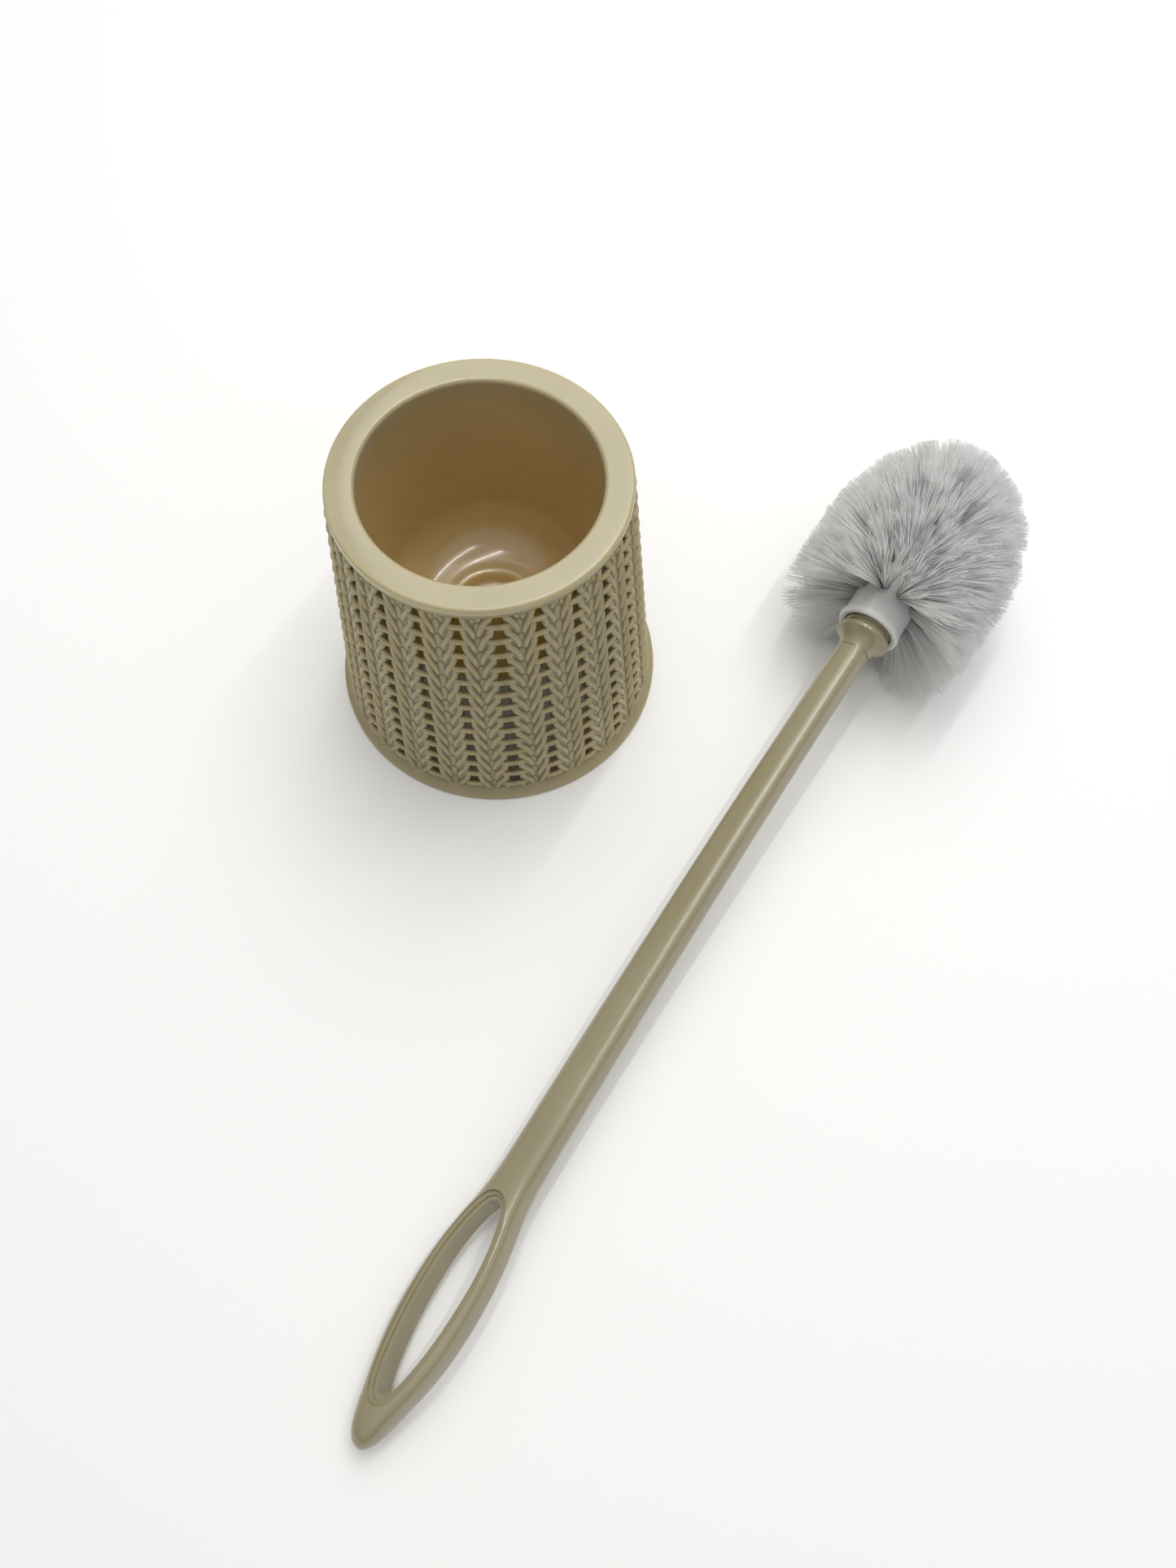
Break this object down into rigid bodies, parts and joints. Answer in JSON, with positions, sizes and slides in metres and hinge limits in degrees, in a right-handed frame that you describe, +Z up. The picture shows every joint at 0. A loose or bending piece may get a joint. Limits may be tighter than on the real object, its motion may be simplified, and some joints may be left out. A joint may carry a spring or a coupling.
{
  "type": "toilet brush holder",
  "caption": "Knit-look openwork holder with a lift-out liner cup, and its toilet brush lying beside it: looped handle, collar and screw-on bristle head.",
  "frame": {"origin": "on the floor, under the middle of the bounding box of the holder and the brush lying beside it", "axes": "+Z up; +Y along the lying brush from its loop towards its head; +X to the right of the brush, away from the holder"},
  "size_m": [0.2104, 0.3924, 0.108],
  "materials": {
    "sleeve_plastic": "satin moulded cream polypropylene",
    "cup_plastic": "glossy moulded cream polypropylene",
    "handle_plastic": "glossy moulded beige polypropylene",
    "hub_plastic": "white moulded polypropylene",
    "bristle": "fine white filament"
  },
  "bodies": {
    "sleeve": {"knit_sleeve": "sleeve_plastic"},
    "cup": {"inner_cup": "cup_plastic"},
    "brush": {"brush_handle": "handle_plastic"},
    "head": {"brush_hub": "hub_plastic", "tuft_ring1_1": "bristle", "tuft_ring1_2": "bristle", "tuft_ring1_3": "bristle", "tuft_ring1_4": "bristle", "tuft_ring1_5": "bristle", "tuft_ring1_6": "bristle", "tuft_ring1_7": "bristle", "tuft_ring1_8": "bristle", "tuft_ring1_9": "bristle", "tuft_ring2_1": "bristle", "tuft_ring2_2": "bristle", "tuft_ring2_3": "bristle", "tuft_ring2_4": "bristle", "tuft_ring2_5": "bristle", "tuft_ring2_6": "bristle", "tuft_ring2_7": "bristle", "tuft_ring2_8": "bristle", "tuft_ring2_9": "bristle", "tuft_ring3_1": "bristle", "tuft_ring3_2": "bristle", "tuft_ring3_3": "bristle", "tuft_ring3_4": "bristle", "tuft_ring3_5": "bristle", "tuft_ring3_6": "bristle", "tuft_ring3_7": "bristle", "tuft_ring3_8": "bristle", "tuft_ring3_9": "bristle", "tuft_ring4_1": "bristle", "tuft_ring4_2": "bristle", "tuft_ring4_3": "bristle", "tuft_ring4_4": "bristle", "tuft_ring4_5": "bristle", "tuft_ring4_6": "bristle", "tuft_ring4_7": "bristle", "tuft_ring4_8": "bristle", "tuft_ring4_9": "bristle", "tuft_ring5_1": "bristle", "tuft_ring5_2": "bristle", "tuft_ring5_3": "bristle", "tuft_ring5_4": "bristle", "tuft_ring5_5": "bristle", "tuft_ring5_6": "bristle", "tuft_ring5_7": "bristle", "tuft_ring5_8": "bristle", "tuft_ring5_9": "bristle", "tuft_nose_1": "bristle", "tuft_nose_2": "bristle", "tuft_nose_3": "bristle", "tuft_nose_4": "bristle", "tuft_nose_5": "bristle", "tuft_nose_6": "bristle"}
  },
  "joints": [
    {"name": "cup_lift", "type": "slide", "parent": "sleeve", "child": "cup", "axis": [0, 0, 1], "range_m": [0, 0.12]},
    {"name": "brush_lift", "type": "slide", "parent": "sleeve", "child": "brush", "axis": [0, 0, 1], "range_m": [0, 0.3]},
    {"name": "head_unscrew", "type": "hinge", "parent": "brush", "child": "head", "pos_m": [0.06821, 0.10793, 0.03113], "axis": [0.0246, 0.9956, 0.09], "range_deg": [0, 1080]}
  ]
}
